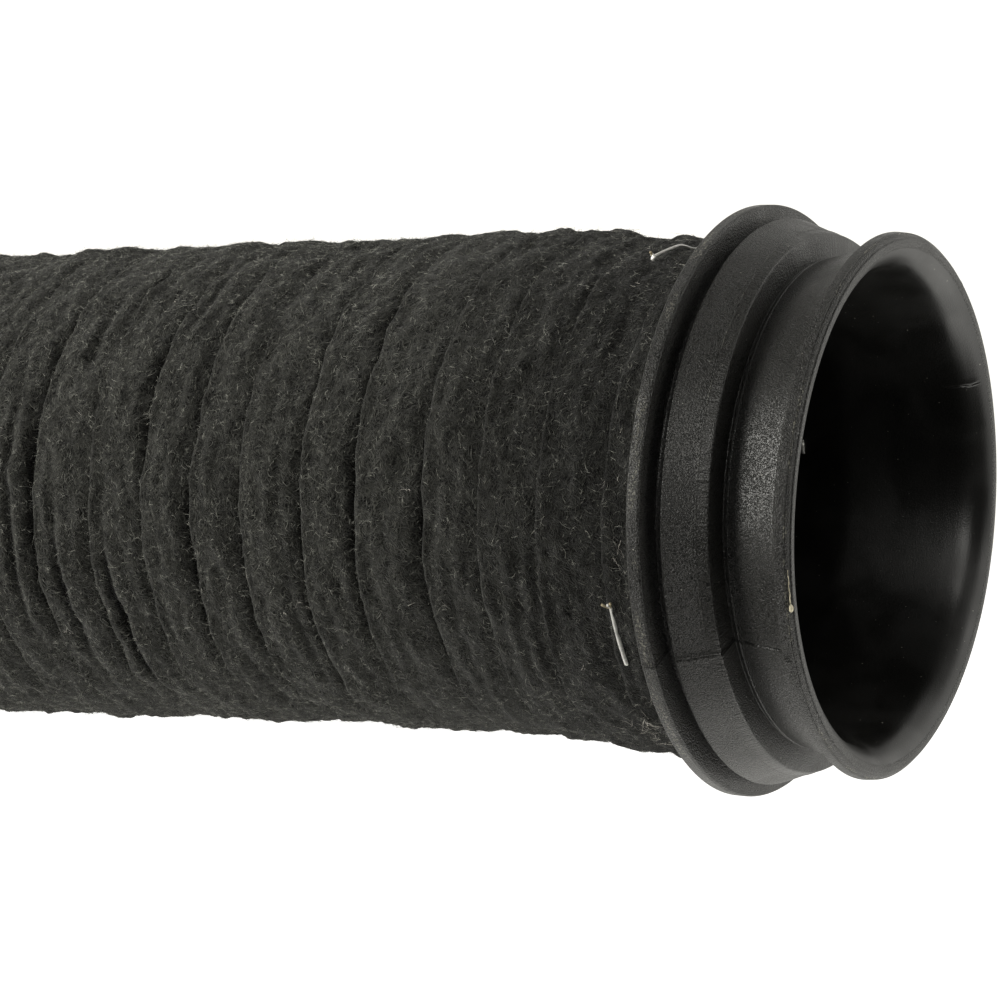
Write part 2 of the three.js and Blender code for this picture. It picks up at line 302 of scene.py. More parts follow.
def swept(name, path, radius, material, sides=10, flatten=1.0):
    """A round wire along a path, closed at both ends. The radius is one number or one for each point."""
    path = np.asarray(path, float)
    radii = np.broadcast_to(radius, len(path))
    tangent = unit(np.gradient(path, axis=0))
    side = np.cross(tangent[0], [0.31, 0.52, 0.79])
    rings = []
    travelled = np.concatenate([[0], np.cumsum(np.linalg.norm(np.diff(path, axis=0), axis=1))])
    turn = np.arange(sides) * CIRCLE / sides
    for place, along, reach in zip(path, tangent, radii):
        side = unit(side - along * (side @ along))
        other = np.cross(along, side)
        ring = np.outer(np.cos(turn), side) + flatten * np.outer(np.sin(turn), other)
        rings.append(place + reach * ring)
    round_length = np.arange(sides + 1) / sides * CIRCLE * radii.max()
    return tube_of(name, np.array(rings), (travelled, round_length), material)


def rounded_corner(place, before, after, cut, steps):
    """Points round a corner, which start and end at the cut's distance from it."""
    share = np.linspace(0, 1, steps + 1)[:, None]
    first = place + before * cut * (1 - share)
    return first * (1 - share) + (place + after * cut * share) * share


def filleted(corners, steps=3):
    """A closed outline of [distance, radius, fillet] with each corner rounded by its fillet."""
    outline = []
    for number, (*place, fillet) in enumerate(corners):
        place = np.array(place, float)
        before = np.array(corners[number - 1][:2], float) - place
        after = np.array(corners[(number + 1) % len(corners)][:2], float) - place
        reach = 0.49 * min(np.linalg.norm(before), np.linalg.norm(after))
        before, after = unit(before), unit(after)
        half = math.acos(max(-1.0, min(1.0, before @ after))) / 2
        cut = min(reach, fillet / math.tan(half)) if fillet else 0
        if cut < 1e-9:
            outline.append(place)
        else:
            outline.extend(rounded_corner(place, before, after, cut, steps))
    return np.array(outline)


def divided(outline, longest):
    """The same closed outline with its long edges divided."""
    points = []
    for here, there in zip(outline, np.roll(outline, -1, axis=0)):
        count = max(1, math.ceil(np.linalg.norm(there - here) / longest))
        points.extend(here + (there - here) * share for share in np.arange(count) / count)
    return np.array(points)


# ---------------------------------------------------------------- shader effects


def add_node(tree, kind, inputs=None, **settings):
    node = tree.nodes.new(kind)
    for key, value in settings.items():
        setattr(node, key, value)
    for key, value in (inputs or {}).items():
        if isinstance(value, bpy.types.NodeSocket):
            tree.links.new(value, node.inputs[key])
        else:
            node.inputs[key].default_value = value
    return node


def maths(tree, operation, first, second=0.5):
    return add_node(tree, "ShaderNodeMath", {0: first, 1: second}, operation=operation).outputs[0]


def vector(tree, operation, first, second):
    return add_node(tree, "ShaderNodeVectorMath", {0: first, 1: second}, operation=operation).outputs[0]


def dimmed(tree, colour, factor):
    return add_node(tree, "ShaderNodeVectorMath", {0: colour, "Scale": factor}, operation="SCALE").outputs[0]


def noise(tree, place, scale, detail=2.0, output="Fac", **more):
    inputs = {"Vector": place, "Scale": scale, "Detail": detail, **more}
    return add_node(tree, "ShaderNodeTexNoise", inputs).outputs[output]


def ramp(tree, value, low, high, to_low=0.0, to_high=1.0):
    inputs = {0: value, 1: low, 2: high, 3: to_low, 4: to_high}
    node = add_node(tree, "ShaderNodeMapRange", inputs, interpolation_type="SMOOTHSTEP")
    return node.outputs[0]


def effect(name, given, made):
    """An empty node group with named sockets: the places are vectors, and all others are numbers."""
    group = bpy.data.node_groups.new(name, "ShaderNodeTree")
    for label in given:
        kind = "NodeSocketVector" if label in ("Place", "Skin") else "NodeSocketFloat"
        group.interface.new_socket(label, in_out="INPUT", socket_type=kind)
    for label in made:
        group.interface.new_socket(label, in_out="OUTPUT", socket_type="NodeSocketFloat")
    return group, group.nodes.new("NodeGroupInput").outputs, group.nodes.new("NodeGroupOutput").inputs


def put_out(group, out, **values):
    for label, value in values.items():
        group.links.new(value, out[label])


def felt_fibre_effect():
    """Matted fibres that curl in every direction of the skin."""
    group, given, out = effect("matted_fibres", ("Place",), ("Height", "Strands", "Clumps"))
    curl_scale, curl_reach, strand_scale, strand_length = 420.0, 2.6 * MM, 4600.0, 0.16
    layers = []
    for number, heading in enumerate((0.35, 1.45, 2.4)):
        moved = vector(group, "ADD", given["Place"], (0.037 * number, 0.061 * number, 0.0))
        curl = noise(group, moved, curl_scale, 1.0, "Color")
        curled = add_node(
            group, "ShaderNodeVectorMath", {0: curl, 1: (curl_reach,) * 3, 2: moved}, operation="MULTIPLY_ADD"
        ).outputs[0]
        turned = add_node(
            group, "ShaderNodeVectorRotate", {"Vector": curled, "Angle": heading}, rotation_type="Z_AXIS"
        ).outputs[0]
        drawn = vector(group, "MULTIPLY", turned, (strand_scale * strand_length, strand_scale, 1.0))
        layers.append(ramp(group, noise(group, drawn, 1.0, 1.5, Roughness=0.55), 0.5, 0.68))
    strands = maths(group, "MAXIMUM", maths(group, "MAXIMUM", *layers[:2]), layers[2])
    clumps = noise(group, given["Place"], 500.0, 5.0, Roughness=0.66)
    height = maths(group, "ADD", maths(group, "MULTIPLY", strands, 0.5), clumps)
    put_out(group, out, Height=height, Strands=strands, Clumps=clumps)
    return group


def rubber_grain_effect():
    """Pebbled mould grain, specks of dust and long soft blotches."""
    group, given, out = effect("rubber_grain", ("Place", "Skin"), ("Height", "Dust", "Blotches"))
    specks = []
    for scale, size, share in ((170.0, 0.022, 0.55), (420.0, 0.034, 0.8)):
        speck = add_node(
            group, "ShaderNodeTexVoronoi", {"Vector": given["Skin"], "Scale": scale}, voronoi_dimensions="2D"
        ).outputs
        chosen = add_node(group, "ShaderNodeSeparateColor", {0: speck["Color"]}).outputs[0]
        spot = ramp(group, speck["Distance"], size * 0.6, size, 1.0, 0.0)
        specks.append(maths(group, "MULTIPLY", spot, ramp(group, chosen, share, 1.0)))
    pebbles = ramp(group, noise(group, given["Place"], 4000.0, 1.0), 0.38, 0.62)
    blotches = noise(group, given["Place"], 90.0, 3.0, Distortion=0.6)
    put_out(group, out, Height=pebbles, Dust=maths(group, "MAXIMUM", *specks), Blotches=blotches)
    return group


def tool_marks_effect():
    """Fine marks across a band of the moulding, as a turned mould leaves them."""
    group, given, out = effect("tool_marks", ("Place", "Band start", "Band end"), ("Height", "Band"))
    way = add_node(group, "ShaderNodeSeparateXYZ", {0: given["Place"]}).outputs["Y"]
    marks = noise(group, vector(group, "MULTIPLY", given["Place"], (2600.0, 260.0, 1.0)), 1.0)
    patches = noise(group, given["Place"], 60.0)
    blur = 0.25 * MM
    edges = []
    for label, before, beyond in (("Band start", 0.0, 1.0), ("Band end", 1.0, 0.0)):
        low = maths(group, "SUBTRACT", given[label], blur)
        high = maths(group, "ADD", given[label], blur)
        inputs = {0: way, 1: low, 2: high, 3: before, 4: beyond}
        edges.append(add_node(group, "ShaderNodeMapRange", inputs).outputs[0])
    band = maths(group, "MULTIPLY", *edges)
    deep = maths(group, "MULTIPLY", marks, ramp(group, patches, 0.35, 0.6, 0.3, 1.0))
    put_out(group, out, Height=maths(group, "MULTIPLY", deep, band), Band=band)
    return group


def worn_edge_effect():
    """Pale crumbs and dust along an edge of the moulding."""
    group, given, out = effect("worn_edge", ("Place", "Edge", "Reach"), ("Mask",))
    way = add_node(group, "ShaderNodeSeparateXYZ", {0: given["Place"]}).outputs["Y"]
    beside = maths(group, "ABSOLUTE", maths(group, "SUBTRACT", way, given["Edge"]))
    near = maths(group, "SUBTRACT", 1.0, maths(group, "DIVIDE", beside, given["Reach"]))
    crumbs = noise(group, given["Place"], 2300.0, Roughness=0.7)
    some = ramp(group, noise(group, given["Place"], 170.0), 0.44, 0.6)
    level = maths(group, "ADD", crumbs, maths(group, "MULTIPLY", near, 0.16))
    mask = maths(group, "MULTIPLY", ramp(group, level, 0.64, 0.74), ramp(group, near, 0.0, 0.3))
    put_out(group, out, Mask=maths(group, "MULTIPLY", mask, some))
    return group


EFFECTS = {
    "worn_edge": worn_edge_effect,
    "matted_fibres": felt_fibre_effect,
    "rubber_grain": rubber_grain_effect,
    "tool_marks": tool_marks_effect,
}


def use_effect(tree, name, inputs):
    group = bpy.data.node_groups.get(name) or EFFECTS[name]()
    return add_node(tree, "ShaderNodeGroup", inputs, node_tree=group).outputs


def mixed(tree, factor, first, second):
    return add_node(tree, "ShaderNodeMix", {0: factor, 6: first, 7: second}, data_type="RGBA").outputs[2]


def new_material(name, roughness=0.5, **constants):
    """A material with a Principled shader, and its tree and shader."""
    material = bpy.data.materials.new(name)
    material.use_nodes = True
    tree = material.node_tree
    shader = tree.nodes["Principled BSDF"]
    shader.inputs["Roughness"].default_value = roughness
    for label, value in constants.items():
        shader.inputs[label.replace("_", " ")].default_value = value
    return material, tree, shader


def bumped(tree, shader, height, strength, distance):
    inputs = {"Height": height, "Strength": strength, "Distance": distance}
    tree.links.new(add_node(tree, "ShaderNodeBump", inputs).outputs[0], shader.inputs["Normal"])


def scaled(colour, factor):
    return (*[min(1.0, value * factor) for value in colour[:3]], 1.0)


def skin_place(tree):
    return add_node(tree, "ShaderNodeUVMap", uv_map="skin").outputs[0]


def object_place(tree):
    return add_node(tree, "ShaderNodeTexCoord").outputs["Object"]


def patched(tree, patches, first, second, shader):
    """Gives a shader a colour that changes from patch to patch."""
    tree.links.new(mixed(tree, patches, first, second), shader.inputs["Base Color"])


def painted_shade_by_cuffs(tree, colour, least):
    """Painted shade: the felt's colour is darkened towards each cuff, where less light falls on it."""
    along = add_node(tree, "ShaderNodeSeparateXYZ", {0: object_place(tree)}).outputs["X"]
    # Painted shade: the colour falls from full to the least share between 52 mm and 6 mm before the felt's
    # end.
    worn = ramp(tree, maths(tree, "ABSOLUTE", along), FELT_END - 52 * MM, FELT_END - 6 * MM, 1.0, least)
    return dimmed(tree, colour, worn)


def felt_material():
    colour = tuple(bpy.context.scene.duct_felt.colour)
    material, tree, shader = new_material("black_felt", 0.95, Specular_IOR_Level=0.08, Sheen_Weight=0.16)
    shader.inputs["Sheen Roughness"].default_value = 0.45
    fibres = use_effect(tree, "matted_fibres", {"Place": skin_place(tree)})
    clumpy = mixed(tree, ramp(tree, fibres["Clumps"], 0.38, 0.64), scaled(colour, 0.15), scaled(colour, 1.35))
    stranded = mixed(tree, maths(tree, "MULTIPLY", fibres["Strands"], 0.75), clumpy, scaled(colour, 3.2))
    # Painted shade: the colour is darkened down to 0.04 in deep folds and slits, where shade falls.
    fold = add_node(tree, "ShaderNodeAttribute", attribute_name="fold").outputs["Fac"]
    painted_fold_shade = dimmed(tree, stranded, ramp(tree, fold, 0.1, 0.75, 1.0, 0.04))
    tree.links.new(painted_shade_by_cuffs(tree, painted_fold_shade, 0.4), shader.inputs["Base Color"])
    bumped(tree, shader, fibres["Height"], 1.0, 0.45 * MM)
    return material


def fibre_material():
    colour = tuple(bpy.context.scene.duct_felt.fibre_colour)
    material, tree, shader = new_material("loose_fibre", 0.8, Specular_IOR_Level=0.2)
    patches = ramp(tree, noise(tree, object_place(tree), 900.0, 1.0), 0.35, 0.65)
    shade = mixed(tree, patches, scaled(colour, 0.15), scaled(colour, 2.0))
    tree.links.new(painted_shade_by_cuffs(tree, shade, 0.95), shader.inputs["Base Color"])
    return material


def lint_material(name, colour):
    material, tree, shader = new_material(name, 0.7)
    patches = ramp(tree, noise(tree, object_place(tree), 600.0), 0.35, 0.7)
    patched(tree, patches, scaled(colour, 0.5), scaled(colour, 1.3), shader)
    return material


def rubber(name, roughness, worn):
    """Black rubber with pebbled grain, blotches and specks of dust. Its pebbles' peaks are also painted
    lighter, by the share that worn gives: a painted highlight for the grain's sparkle.
    """
    colour = tuple(bpy.context.scene.duct_cuff.colour)
    material, tree, shader = new_material(name, roughness, Specular_IOR_Level=0.5)
    grain = use_effect(tree, "rubber_grain", {"Place": object_place(tree), "Skin": skin_place(tree)})
    blotched = mixed(tree, grain["Blotches"], scaled(colour, 0.7), scaled(colour, 1.4))
    # Painted highlight: the pebbles' peaks are painted up to seven times lighter, as if they caught the
    # light.
    blotched = mixed(tree, maths(tree, "MULTIPLY", grain["Height"], worn), blotched, scaled(colour, 7))
    patched(tree, grain["Dust"], blotched, DUST_COLOUR, shader)
    dull = ramp(tree, grain["Blotches"], 0.35, 0.65, roughness - 0.05, roughness + 0.08)
    tree.links.new(dull, shader.inputs["Roughness"])
    return material, tree, shader, grain


def grained_rubber():
    """The outside's rubber, with a turned band on the step ring and crumbs along its worn edges."""
    material, tree, shader, grain = rubber("moulded_rubber", 0.33, 0.7)
    outline = cuff_outline()[0]
    place = skin_place(tree)
    start, end = outline_way(outline, *NECK_CORNERS[-1][:2]), outline_way(outline, *RING_CORNERS[2][:2])
    marks = use_effect(tree, "tool_marks", {"Place": place, "Band start": start, "Band end": end})
    shade = shader.inputs["Base Color"].links[0].from_socket
    for corner, reach, pale in WORN_EDGES:
        inputs = {"Place": place, "Edge": outline_way(outline, *corner), "Reach": reach * MM}
        worn = use_effect(tree, "worn_edge", inputs)["Mask"]
        shade = mixed(tree, maths(tree, "MULTIPLY", worn, pale), shade, CRUMB_COLOUR)
    tree.links.new(shade, shader.inputs["Base Color"])
    pebbles = maths(tree, "MULTIPLY", grain["Height"], ramp(tree, marks["Band"], 0.0, 1.0, 1.0, 0.35))
    height = maths(tree, "ADD", pebbles, maths(tree, "MULTIPLY", marks["Height"], 1.2))
    bumped(tree, shader, height, 1.0, 0.13 * MM)
    return material


def smooth_rubber():
    material, tree, shader, grain = rubber("smooth_rubber", 0.33, 0.1)
    bumped(tree, shader, grain["Height"], 0.3, 0.02 * MM)
    return material


def liner_material():
    colour = tuple(bpy.context.scene.duct_tube.liner_colour)
    material, tree, shader = new_material("coated_liner", 0.6)
    inputs = {"Vector": skin_place(tree), "Scale": 260.0}
    yarns = [add_node(tree, "ShaderNodeTexWave", inputs, bands_direction=way).outputs[1] for way in "XY"]
    weave = maths(tree, "MAXIMUM", *yarns)
    patched(tree, weave, scaled(colour, 0.8), scaled(colour, 1.5), shader)
    bumped(tree, shader, weave, 0.3, 0.08 * MM)
    return material


def wire_material(name, colour, roughness, metallic=1.0):
    material, tree, shader = new_material(name, roughness, Metallic=metallic)
    tarnish = noise(tree, object_place(tree), 700.0, 3.0)
    patched(tree, ramp(tree, tarnish, 0.35, 0.75), colour, scaled(colour, 0.6), shader)
    worn = ramp(tree, tarnish, 0.3, 0.8, roughness * 0.8, roughness * 1.5)
    tree.links.new(worn, shader.inputs["Roughness"])
    return material


# ---------------------------------------------------------------- felt strip


# How far each of the first edges lies ahead of an even pitch on the near side, and how open it is
EDGE_SHIFTS = (0.0, 0.0, 0.0, 0.7, -0.6, -0.3, -0.9, 0.2, 0.9, 1.0, 0.0)
EDGE_OPENINGS = (0.05, 0.08, 0.14, 0.32, 0.42, 0.36, 0.4, 0.42, 0.4, 0.45, 0.55)
# Slits that stand open: turn, angle from the near side's middle in degrees, half span, gain
OPEN_SLITS = (
    (10, 2, 36, 0.9),
    (9, 34, 28, 0.8),
    (8, -24, 24, 0.95),
    (8, 24, 20, 0.3),
    (7, 26, 32, 0.5),
    (6, 24, 30, 0.35),
    (5, 30, 30, 0.3),
    (4, 8, 32, 0.35),
    (3, 14, 22, 0.3),
    (2, 34, 18, 0.2),
)
# Pleats between two edges: distance behind the lip, angle from the near side's middle, half span, depth
PLEATS = (
    (126.8, 36, 24, 1.5),
    (137.2, 26, 22, 1.2),
    (104.0, 52, 14, 0.8),
    (134.0, -40, 22, 0.6),
    (114.5, -50, 18, 0.6),
    (90.5, 30, 22, 0.5),
    (147.0, 10, 34, 0.9),
    (59.5, 44, 14, 0.5),
)
PLEAT_WIDTH = 0.8 * MM
# Pale fibres and lint: distance behind the lip, angle in degrees, spread, how many and their length
TUFTS = (
    (27.6, 100.7, 0.8, 14, 2.4),
    (31.5, 151, 4.5, 70, 3.2),
    (27.0, 137, 1.5, 12, 2.0),
    (46.0, 8, 4.0, 16, 2.0),
    (34.3, 38, 0.2, 5, 0.8),
    (88.4, 118, 0.5, 9, 1.0),
    (92.5, 118.5, 0.3, 6, 0.8),
    (123.5, 130.6, 0.6, 10, 1.0),
    (139.4, 127.7, 0.4, 7, 0.9),
    (83.3, 136.8, 0.3, 5, 0.9),
    (66.8, 93.2, 0.5, 5, 1.5),
    (29.5, 84, 1.2, 8, 1.6),
)
# Broad swellings and hollows: distance behind the lip, angle in degrees, reach in mm, half span, height
SWELLINGS = (
    (100.0, 172, 9.0, 34, -1.3),
    (131.0, 165, 7.0, 30, -0.6),
    (62.0, 175, 4.0, 25, 0.6),
    (64.0, 0, 5.0, 22, -0.7),
    (118.0, 2, 4.0, 20, -0.6),
    (157.0, 8, 9.0, 26, 0.6),
)
BELOW = 0.35  # share of a turn at which the strip passes under the tube, where it is cut
STEPS_PER_TURN = 300
SECTION_STEPS = (0, 0.12, 0.3, 0.6, 1.0, 1.5)  # across the strip from its lapped edge, in mm
SLIT_STEPS = (2.2, 1.5, 1.0, 0.65, 0.4, 0.22, 0.1, 0)  # short of the next edge, in mm
MIDDLE_STEPS = 13
FLAP_SHARES = (0.5, 1.0)  # of the tuck, beyond the next edge
UNDER_SHARES = (1.0, 0.75, 0.5, 0.28)  # of the strip's whole width, back along its underside
NOSE_SHARES = (1.35, 1.1, 0.2)  # of the tuck, back to the lapped edge


def edge_angle(turn):
    return CIRCLE * (turn + 0.25)


def listed(values, turn, beyond):
    """One value for each of the first turns, held on the near side and fading behind the tube."""
    nearest = np.round(turn).astype(int)
    known = np.array([*values, beyond])
    inside = (nearest >= 0) & (nearest < len(values))
    value = known[np.where(inside, nearest, len(values))]
    return beyond + (value - beyond) * np.cos(math.pi * (turn - nearest)) ** 2


def edge_place(turn):
    """x of the strip's lapped edge, which winds rearwards from the top over the near side."""
    felt = bpy.context.scene.duct_felt
    even = felt.pitch * (turn - 0.5 * np.sin(CIRCLE * turn) / CIRCLE)
    slow, quick = Ripple(11, 1.0, waves=14), Ripple(12, 1.0, waves=14)
    wave = slow(turn * 0.55, 0 * turn) + 0.5 * quick(turn * 2.6, 0 * turn)
    shift = listed(EDGE_SHIFTS, turn, 0.0) * MM
    return felt.first_edge - even + 0.6 * felt.wander * wave + shift


def openness(turn):
    """How open the slit under an edge is: 0 is shut tight and 1 is wide open."""
    varied = 1 + 0.16 / 0.62 * Ripple(13, 1.0, waves=12)(turn * 1.7, 0 * turn)
    opening = listed(EDGE_OPENINGS, turn, 0.5) * varied
    for number, offset, span, gain in OPEN_SLITS:
        opening = opening + gain * hump((turn - number) * 360 - offset, span)
    return np.clip(opening, 0.04, 1.4)


def pleat_depth(x, angle):
    """Narrow folds between two lapped edges."""
    near = np.degrees(gap_between(angle, CIRCLE / 4))
    depth = np.zeros(np.broadcast(x, angle).shape)
    for distance, offset, span, deep in PLEATS:
        along = hump(x - (LIP_X - distance * MM), PLEAT_WIDTH)
        depth += deep * MM * along * hump(near - offset, span)
    return depth


def swelling(x, angle):
    """Height of the broad swellings and hollows."""
    height = np.zeros(np.broadcast(x, angle).shape)
    for distance, degrees, reach, span, tall in SWELLINGS:
        away = np.degrees(gap_between(angle, math.radians(degrees)))
        height += tall * MM * hump(x - (LIP_X - distance * MM), reach * MM) * hump(away, span)
    return height


def across_strip(width, tuck):
    """Steps across the strip's top: close together at its edge and at the slit, then under the next edge."""
    head = np.array(SECTION_STEPS) * MM
    tail = width - np.array(SLIT_STEPS) * MM
    middle_share = np.linspace(0, 1, MIDDLE_STEPS + 2)[1:-1]
    middle = head[-1] + (tail[:, :1] - head[-1]) * middle_share
    flap = width + np.array(FLAP_SHARES) * tuck
    return np.concatenate([np.broadcast_to(head, (len(width), len(head))), middle, tail, flap], 1)


def strip_top(turn, across, width):
    """Radius and fold depth of the strip's top, and how far its nose drops."""
    felt = bpy.context.scene.duct_felt
    angle, x = edge_angle(turn), edge_place(turn) + across
    share = np.clip(across / width, 0, 1)
    opening, next_opening = openness(turn), openness(turn - 1)
    # The section itself: a round nose at the lapped edge, then a soft crown
    nose_width, nose_drop = 0.6 * MM, (0.3 + 0.5 * opening) * MM
    curl = np.clip(1 - across / nose_width, 0, 1)
    radius = felt.edge_radius - felt.lap * share**1.2
    radius = radius - nose_drop * (1 - np.sqrt(1 - curl**2))
    radius = radius + 0.2 * MM * hump(across, 1.2 * MM)
    radius = radius + 0.25 * MM * (0.3 + opening) * np.sin(math.pi * share) ** 0.8
    # The dip and the slit under the next turn's edge
    short = np.clip(width - across, 0, None)
    valley = (0.1 + 1.5 * next_opening) * MM * hump(short, felt.valley, 1.3)
    slit_width = (0.1 + 0.65 * next_opening**1.3) * MM
    slit = (0.16 * MM + felt.fold * next_opening**1.2) * hump(short, slit_width, 1.5)
    radius = radius - valley - slit
    # The felt's own unevenness
    lumps = 0.5 * Ripple(21, 24 * MM)(x, angle) + 0.5 * Ripple(22, 9 * MM)(x, angle)
    crumbs = 0.22 * Ripple(23, 3.2 * MM, waves=26)(x, angle)
    combed = 0.25 * Ripple(24, 6 * MM, along=1.8, around=0.4)(x, angle)
    radius = radius + felt.lump * (lumps + crumbs + combed) * (1 - share**6)
    pleat = pleat_depth(x, angle)
    radius = radius - pleat + swelling(x, angle)
    # No fold goes through the strip, which swells against the flanges
    floor, blend = felt.inner_radius + 0.5 * MM, 0.12 * MM
    radius = floor + np.logaddexp(0, (radius - floor) / blend) * blend
    radius = radius + felt.flare * hump(FELT_END - np.abs(x), 6 * MM)
    radius = np.where(across > width, radius[:, -3:-2] - 0.12 * MM, radius)
    # Fold depth: it marks where the felt's colour gets painted shade, and keeps loose fibres out of the
    # folds.
    fold = np.clip((slit + 0.45 * valley + 0.8 * pleat) / MM - 0.15, 0, 1)
    return radius, fold, nose_drop


def strip_section(turn):
    """Points round the strip's section at each turn value: place along x, radius and fold depth."""
    felt = bpy.context.scene.duct_felt
    turn = turn[:, None]
    edge = edge_place(turn)
    width = edge_place(turn - 1) - edge
    across = across_strip(width, felt.tuck)
    radius, fold, nose_drop = strip_top(turn, across, width)
    under = np.array(UNDER_SHARES) * (width + felt.tuck)
    beneath = np.broadcast_to(np.array(NOSE_SHARES) * felt.tuck, (len(turn), len(NOSE_SHARES)))
    under_x = edge + np.concatenate([under, beneath], 1)
    inner = np.full_like(turn, felt.inner_radius)
    under_edge = felt.edge_radius - nose_drop - felt.edge_thickness * 0.7
    under_radius = np.concatenate([inner] * 5 + [under_edge] * 2, 1)
    fold = np.concatenate([fold, np.ones_like(under_x)], 1)
    x = np.clip(np.concatenate([edge + across, under_x], 1), -FELT_END, FELT_END)
    return x, np.concatenate([radius, under_radius], 1), fold, across.shape[1]


def strip_span():
    """The turn values where the strip starts at the front cuff and ends at the rear one."""
    felt = bpy.context.scene.duct_felt
    front_gap, rear_gap = 0.4 * MM, 0.6 * MM
    turns = np.arange(-2, 40, 0.01)
    edges = edge_place(turns)
    start = turns[np.argmax(edges < FELT_END - front_gap)]
    end = turns[np.argmax(edges + felt.pitch < -FELT_END + rear_gap)]
    return start, end


def strip_cuts():
    """Turn values where the strip is cut: in the middle of each section, under the tube."""
    start, end = strip_span()
    felt = bpy.context.scene.duct_felt
    cuts = [round((felt.first_edge - x) / felt.pitch - BELOW) + BELOW + 0.5 for x in SECTION_MIDDLES]
    return [start, *cuts, end]


def bend_over_seam(piece):
    """Bakes a length's place into its mesh, where it lies over its seam."""
    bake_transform(piece)


def finish_length(piece, kind, number):
    """Lengths lie over the seams: piece n stands for the frame's length n, and the last for the end too."""
    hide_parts(f"{kind}_{number}")
    if number == len(SEAMS):
        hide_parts(f"{kind}_{number + 1}")
    bend_over_seam(piece)


def outwards(points):
    """Unit directions from the tube's own centre line to points on its skin."""
    x = points[:, 0]
    return unit(points - np.stack([x, 0 * x, AXIS_Z + bow(x)], 1))


def fibre_mesh(name, roots, normals, tangents, sizes, rng, materials, width, kinds):
    """Thin curled ribbons that taper: each root has a length, a lift and a bend in radians."""
    reach, lift, bend = sizes
    count, joints, taper = len(roots), 4, 0.6
    clear_of_felt = 0.02 * MM
    sideways = np.cross(normals, tangents)
    place, paths = roots + normals * clear_of_felt, []
    for joint in range(joints):
        paths.append(place)
        turned = (bend * (joint / (joints - 1) - 0.5))[:, None]
        along = tangents * np.cos(turned) + sideways * np.sin(turned)
        rise = normals * (lift / (joints - 1))[:, None]
        place = place + along * (reach / (joints - 1))[:, None] + rise
    twist = rng.uniform(0, CIRCLE, count)[:, None]
    flat = sideways * np.cos(twist) + normals * np.sin(twist)
    points = []
    for joint, place in enumerate(paths):
        half = width / 2 * (1 - taper * joint / (joints - 1))
        points.extend([place - flat * half, place + flat * half])
    vertices = np.stack(points, 1).reshape(-1, 3)
    base = np.arange(count)[:, None] * 2 * joints
    quads = np.concatenate(
        [base + np.array([2 * j, 2 * j + 1, 2 * j + 3, 2 * j + 2]) for j in range(joints - 1)], 1
    ).reshape(-1, 4)
    piece = new_piece(name, vertices, quads)
    for material in materials:
        piece.data.materials.append(material)
    piece.data.polygons.foreach_set("material_index", np.repeat(kinds, joints - 1).astype(np.int32))
    return piece


def scatter(grid, fold, visible, count, rng):
    """Random places on the outer columns of a strip's grid, out of its folds, with outward normals."""
    tries, widest_face = 3 * count, 0.6 * MM
    rows = rng.uniform(0, grid.shape[0] - 1.001, tries)
    columns = rng.uniform(0.5, visible - 1.001, tries)
    r, c = rows.astype(int), columns.astype(int)
    reach = np.linalg.norm(grid[r, c + 1] - grid[r, c], axis=1)
    kept = rng.random(tries) * widest_face < reach * (1 - fold[r, c]) ** 2
    kept = np.flatnonzero(kept)[:count]
    rows, columns, r, c = rows[kept], columns[kept], r[kept], c[kept]
    u, v = (rows - r)[:, None], (columns - c)[:, None]
    near = grid[r, c] * (1 - v) + grid[r, c + 1] * v
    far = grid[r + 1, c] * (1 - v) + grid[r + 1, c + 1] * v
    place = near * (1 - u) + far * u
    normal = np.cross(grid[r, c + 1] - grid[r, c], grid[r + 1, c] - grid[r, c])
    outward = outwards(place)
    normal = normal / (np.linalg.norm(normal, axis=1, keepdims=True) + 1e-12)
    normal = normal * np.sign(np.einsum("ij,ij->i", normal, outward))[:, None]
    return place, unit(normal + outward)


def tuft_roots(grid, visible, rng):
    """Roots on the felt, and lengths, of the pale fibres and lint that show in tufts."""
    skin = grid[:, :visible].reshape(-1, 3)
    roots, reaches = [np.zeros((0, 3))], [np.zeros(0)]
    for distance, degrees, spread, count, reach in TUFTS:
        middle = on_tube(LIP_X - distance * MM, 43 * MM, math.radians(degrees))
        near = np.flatnonzero(np.linalg.norm(skin - middle, axis=1) < (spread + 1) * MM)
        if len(near):
            roots.append(skin[rng.choice(near, count)])
            reaches.append(reach * MM * rng.lognormal(-0.1, 0.35, count))
    return np.concatenate(roots), np.concatenate(reaches)


def felt_fuzz(number, grid, fold, visible, materials):
    """Loose fibres and pale lint on one piece of strip. Most lie flat, and some stand up and are short."""
    felt = bpy.context.scene.duct_felt
    upright_share, pale_share = 0.25, 0.003
    rng = np.random.default_rng(500 + number)
    roots, normals = scatter(grid, fold, visible, felt.fibres, rng)
    loose = len(roots)
    pale, pale_reach = tuft_roots(grid, visible, rng)
    roots = np.concatenate([roots, pale])
    normals = np.concatenate([normals, outwards(pale)])
    count = len(roots)
    heading = rng.normal(size=(count, 3))
    heading -= normals * np.einsum("ij,ij->i", heading, normals)[:, None]
    heading = unit(heading)
    upright = rng.random(count) < upright_share
    reach = felt.fibre * rng.lognormal(-0.2, 0.4, count)
    reach = np.where(upright, reach * 0.5, reach)
    lift = np.where(upright, rng.uniform(0.2, 0.9, count), rng.uniform(0.05, 0.25, count)) * MM
    bend = rng.normal(0, 1.6, count)
    reach[loose:] = pale_reach
    kinds = (rng.random(count) < pale_share).astype(int)
    kinds[loose:] = 1
    sizes, name = (reach, lift, bend), f"felt_fibres_{number}"
    return fibre_mesh(name, roots, normals, heading, sizes, rng, materials, felt.fibre_width, kinds)


